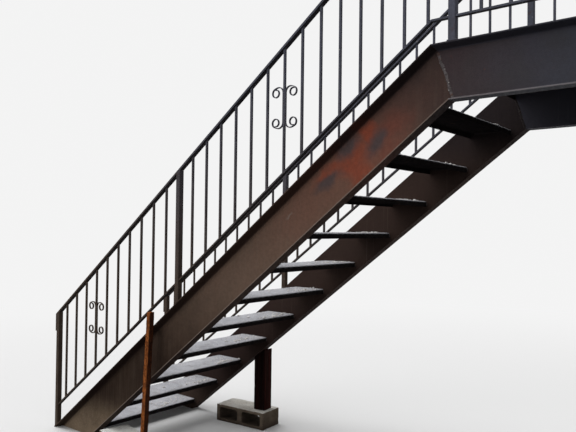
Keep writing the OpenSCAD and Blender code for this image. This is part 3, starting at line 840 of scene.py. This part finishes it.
def rust_scale():
    """Orange-brown rust in two tones with darker scale and long upright runs, paler pits and edges, and
    painted shade that makes the side turned to the wall nearly black."""
    material, shader, place = start_material("rusty_steel")
    tone = use(moved(place, scale=(1, 1, 2.5)), "patches", Size=0.02, Softness=0.12)
    colour = blend(tone, srgb(96, 50, 25), srgb(158, 92, 46))
    scale = use(place, "patches", Size=0.016, Cover=0.42, Softness=0.06)
    colour = lay(colour, scale, 0.75, srgb(52, 28, 19))
    runs = use(place, "streaks", Width=0.009, Length=0.3, Cover=0.45, Softness=0.1)
    colour = lay(colour, runs, 0.5, srgb(74, 38, 20))
    pits = use(place, "patches", Size=0.004, Softness=0.15)
    colour = lay(colour, pits, 0.25, srgb(160, 98, 54))
    edges = use(place, "worn edges", Radius=0.006, Size=0.02, Cover=0.7)
    colour = lay(colour, edges, 0.5, srgb(156, 92, 46))
    # Painted shade on the side turned to the wall.
    painted_wall_side_shade = use(place, "facing", Toward=(1.0, 0.0, 0.0), Low=0.3, High=0.8)
    colour = lay(colour, painted_wall_side_shade, 0.75, srgb(44, 28, 26))
    finish_material(shader, colour, pits, (0.75, 0.95), pits, 0.0008)
    return material


def scale_dents(points):
    """Depth of the rust scale: fine grain, broad waves, and flakes that have come off in steps."""
    grain = 0.0004 * (1 + cloud(points, 0.007, 4))
    waves = 0.0005 * (1 + cloud(points, 0.05, 5))
    flakes = np.clip((cloud(points, (0.016, 0.016, 0.028), 3) - 0.15) / 0.12, 0, 1)
    return grain + waves + 0.0011 * flakes


low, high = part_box("near_prop")
near_side = high[1] - low[1]
near_foot = np.array([low[0] + near_side / 2, (low[1] + high[1]) / 2, low[2]])
near_lean = (high[0] - low[0] - near_side) / (high[2] - low[2])
near_bar = upright_bar(near_foot, near_lean, lambda x: np.full_like(x, high[2]), near_side, corner=0.003,
                       turn=0.0, dent=scale_dents)
near_prop = put_mesh("near_prop_bar", *near_bar, rust_scale(), "rusty_steel")
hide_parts("near_prop")


# Far prop: a length of thick stained timber, stood upright under the far stringer and cut to its slope. Its
# faces have opened in long upright checks.
def stained_timber():
    """Red-brown stain over upright grain, nearly black where it is thick, with long fine cracks, and
    painted shade on the -Y face.
    """
    material, shader, place = start_material("stained_timber")
    broad = use(place, "streaks", Width=0.025, Length=0.6, Cover=0.5)
    colour = blend(broad, srgb(22, 9, 7), srgb(50, 18, 14))
    grain = use(place, "streaks", Width=0.005, Length=0.4, Cover=0.5)
    colour = lay(colour, grain, 0.5, srgb(16, 9, 8))
    cracks = use(place, "streaks", Width=0.004, Length=0.5, Cover=0.2, Softness=0.03)
    colour = blend(cracks, colour, srgb(12, 8, 8))
    # Painted shade on the face turned to -Y.
    front = use(place, "facing", Toward=(0.0, -1.0, 0.0), Low=0.3, High=0.8)
    colour = lay(colour, front, 0.6, srgb(13, 8, 7))
    finish_material(shader, colour, grain, (0.6, 0.8), grain, 0.0008)
    return material


def timber_checks(points):
    """Depth of weathered timber: narrow upright grooves where one stretched cloud crosses zero, fine ridges
    where another does, and slow waves."""
    check = np.clip(1 - np.abs(cloud(points, (0.022, 0.022, 0.35), 6)) / 0.09, 0, 1)
    fine = np.abs(cloud(points, (0.006, 0.006, 0.16), 8))
    return 0.0018 * check + 0.0006 * fine + 0.0005 * (1 + cloud(points, (0.05, 0.05, 0.3), 9))


FAR_SIDE = 0.096
FAR_TURN = math.radians(6)
low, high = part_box("far_prop")
far_foot = np.array([(low[0] + high[0]) / 2, (low[1] + high[1]) / 2, low[2]])
far_post = upright_bar(far_foot, 0.0, lambda x: high[2] - (high[0] - x) * GRADE, FAR_SIDE, corner=0.004,
                       turn=FAR_TURN, dent=timber_checks, count=96)
far_prop = put_mesh("far_prop_timber", *far_post, stained_timber(), "stained_timber")
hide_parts("far_prop")


# Blocks: two-core concrete blocks lying on their sides, cast with sharp arrises that have since chipped.
# Their tops are bleached and pitted, the near one painted paler as light where the stringer shades it,
# their sides are brown with splashed soil, and painted shade darkens their cores and hollows.
BLOCK_HALF = np.array([0.445, 0.205, 0.125]) / 2
EVEN_FACE = 0.004
CHIP_REACH, CHIP_DEPTH = 0.011, 0.010
PIT_DEPTH, GRAIN_DEPTH = 0.0018, 0.0004


def block_concrete():
    """Pale grey cement with sand grain and open pits on top, paler on the near block as painted light,
    soil-brown sides, and painted shade in the cores and hollows.
    """
    material, shader, place = start_material("concrete")
    at = parts_of(place)
    tone = use(place, "patches", Size=0.08, Softness=0.25)
    far_top = blend(tone, srgb(212, 206, 197), srgb(230, 227, 220))
    # The near block's paler top is painted light where the stringer shades it.
    painted_light_near_top = blend(tone, srgb(228, 228, 222), srgb(242, 242, 238))
    top = blend(ramp(at["Y"], 0.1, -0.1), far_top, painted_light_near_top)
    side = blend(tone, srgb(88, 77, 66), srgb(118, 105, 92))
    side = blend(ramp(at["Z"], GROUND_Z + 0.07, GROUND_Z), side, srgb(66, 56, 48))
    upward = use(place, "facing", Toward=UP, Low=0.45, High=0.85)
    colour = blend(times(upward, ramp(at["Z"], GROUND_Z + 0.10, GROUND_Z + 0.12)), side, top)
    sand = use(place, "patches", Size=0.003)
    colour = lay(colour, sand, 0.25, srgb(104, 96, 88))
    pits = use(place, "specks", Size=0.0028, Share=0.35)
    colour = lay(colour, pits, 0.7, srgb(58, 54, 50))
    # Painted shade in the cores and hollows, from ambient occlusion.
    free = add(shader.id_data, "ShaderNodeAmbientOcclusion", {"Distance": 0.09}, samples=6, only_local=True)
    painted_hollow_shade = ramp(free.outputs["AO"], 0.98, 0.45)
    colour = lay(colour, painted_hollow_shade, 0.7, srgb(44, 37, 32))
    finish_material(shader, colour, sand, (0.85, 0.95), arithmetic("SUBTRACT", sand, pits), 0.0008)
    return material


CONCRETE = block_concrete()


def cast_block(name, turn, seed):
    """The CAD block, filled with even small faces and worn: grain everywhere, a few deep pits, and chips
    at its outer edges, which lie where two of the distances to the block's faces are small."""
    mesh = bpy.data.meshes.new(name + "_cast")
    close_seams(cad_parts[name].data, mesh)
    piece = new_object(name + "_cast", mesh)
    even = piece.modifiers.new("even faces", "REMESH")
    even.mode = "VOXEL"
    even.voxel_size = EVEN_FACE
    fine = bpy.data.meshes.new_from_object(piece.evaluated_get(bpy.context.evaluated_depsgraph_get()))
    piece.modifiers.clear()
    points, normals = np.empty(3 * len(fine.vertices)), np.empty(3 * len(fine.vertices))
    fine.vertices.foreach_get("co", points)
    fine.vertices.foreach_get("normal", normals)
    points, normals = points.reshape(-1, 3), normals.reshape(-1, 3)
    low, high = (np.array(corner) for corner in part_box(name))
    away = points - (low + high) / 2
    spin = np.array([[math.cos(turn), -math.sin(turn)], [math.sin(turn), math.cos(turn)]])
    inner = np.abs(np.column_stack([away[:, :2] @ spin, away[:, 2]]))
    edge = np.sort(BLOCK_HALF - inner, axis=1)[:, 1]
    chips = np.clip(1 - edge / CHIP_REACH, 0, 1) * np.clip(cloud(points, 0.021, seed) - 0.2, 0, 1)
    pits = np.clip((cloud(points, 0.009, seed + 1) - 0.62) / 0.2, 0, 1)
    depth = GRAIN_DEPTH * (1 + cloud(points, 0.006, seed + 2)) + PIT_DEPTH * pits + CHIP_DEPTH * chips
    points = np.clip(points - normals * depth[:, None], low, high)
    fine.vertices.foreach_set("co", points.ravel())
    fine.polygons.foreach_set("use_smooth", np.ones(len(fine.polygons), bool))
    fine.materials.clear()
    fine.materials.append(CONCRETE)
    fine.update()
    piece.data = fine
    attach(piece, "root")
    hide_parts(name)


cast_block("near_block", turn=math.radians(-11), seed=20)
cast_block("far_block", turn=math.radians(5), seed=30)


# Studio: a pale floor at ground level that fades into an even pale world, a wide soft lamp from above the
# foot of the stair, a second from its near side, and the camera that looks up the stair. The floor throws
# little light back up, as bare soil does.
FLOOR_SIZE = 40.0
FLOOR_MIDDLE = (-2.2, 0.0, GROUND_Z)
FLOOR_THROWN = (0.13, 0.13, 0.13, 1)
FLOOR_SEEN = (0.76, 0.76, 0.76, 1)
HAZE_NEAR, HAZE_FAR = 3.5, 9.0
WHITE = (1, 1, 1, 1)
BACKGROUND = 0.9
SKY_LIGHT = 0.5
LAMP_WIDTH = math.radians(50)
LAMPS = (("key_lamp", 2.0, (-0.50, -0.12, 0.86)), ("front_lamp", 1.4, (-0.22, -0.97, 0.10)))
EYE = (-0.2556, -3.0093, -0.6807)
YAW, PITCH, ROLL = (math.radians(a) for a in (39.387, 0.974, 0.693))


def seen_directly(tree):
    """1 for what is seen straight, in a gloss or through glass, and 0 for light thrown on pieces."""
    path = add(tree, "ShaderNodeLightPath").outputs
    seen = arithmetic("MAXIMUM", path["Is Camera Ray"], path["Is Glossy Ray"])
    return arithmetic("MAXIMUM", seen, path["Is Transmission Ray"])


floor_mesh = bpy.data.meshes.new("studio_floor")
corners = [(x * FLOOR_SIZE, y * FLOOR_SIZE, GROUND_Z) for x, y in ((-1, -1), (1, -1), (1, 1), (-1, 1))]
floor_mesh.from_pydata(corners, [], [(0, 1, 2, 3)])
floor = new_object("studio_floor", floor_mesh)
floor_material, shader, place = start_material("studio_floor", 0.1)
tree = floor_material.node_tree
seen = seen_directly(tree)
tree.links.new(blend(seen, FLOOR_THROWN, FLOOR_SEEN), shader.inputs["Base Color"])
shader.inputs["Roughness"].default_value = 0.9
distance = vectors("LENGTH", moved(place, FLOOR_MIDDLE))["Value"]
far_off = times(ramp(distance, HAZE_NEAR, HAZE_FAR), seen)
haze = add(tree, "ShaderNodeEmission", {"Color": WHITE, "Strength": BACKGROUND})
mixed = add(tree, "ShaderNodeMixShader", {0: far_off, 1: shader.outputs[0], 2: haze.outputs[0]})
tree.links.new(mixed.outputs[0], tree.nodes["Material Output"].inputs["Surface"])
floor_mesh.materials.append(floor_material)

world = bpy.data.worlds.new("studio_world")
bpy.context.scene.world = world
world.use_nodes = True
sky = ramp(seen_directly(world.node_tree), 0.0, 1.0, SKY_LIGHT, BACKGROUND)
fill(world.node_tree, world.node_tree.nodes["Background"].inputs, {"Strength": sky, "Color": WHITE})

for name, strength, toward in LAMPS:
    lamp = bpy.data.lights.new(name, "SUN")
    lamp.energy = strength
    lamp.angle = LAMP_WIDTH
    lean = math.acos(toward[2] / np.linalg.norm(toward))
    new_object(name, lamp).rotation_euler = (lean, 0, math.atan2(toward[1], toward[0]) + math.pi / 2)

camera_data = bpy.data.cameras.new("camera")
camera_data.sensor_width = 36
camera_data.lens = 38.81
camera = new_object("camera", camera_data)
camera.matrix_world = (Matrix.Translation(EYE) @ Matrix.Rotation(YAW, 4, "Z")
                       @ Matrix.Rotation(math.pi / 2 + PITCH, 4, "X") @ Matrix.Rotation(ROLL, 4, "Z"))
bpy.context.scene.camera = camera
bpy.context.scene.view_settings.view_transform = "Standard"
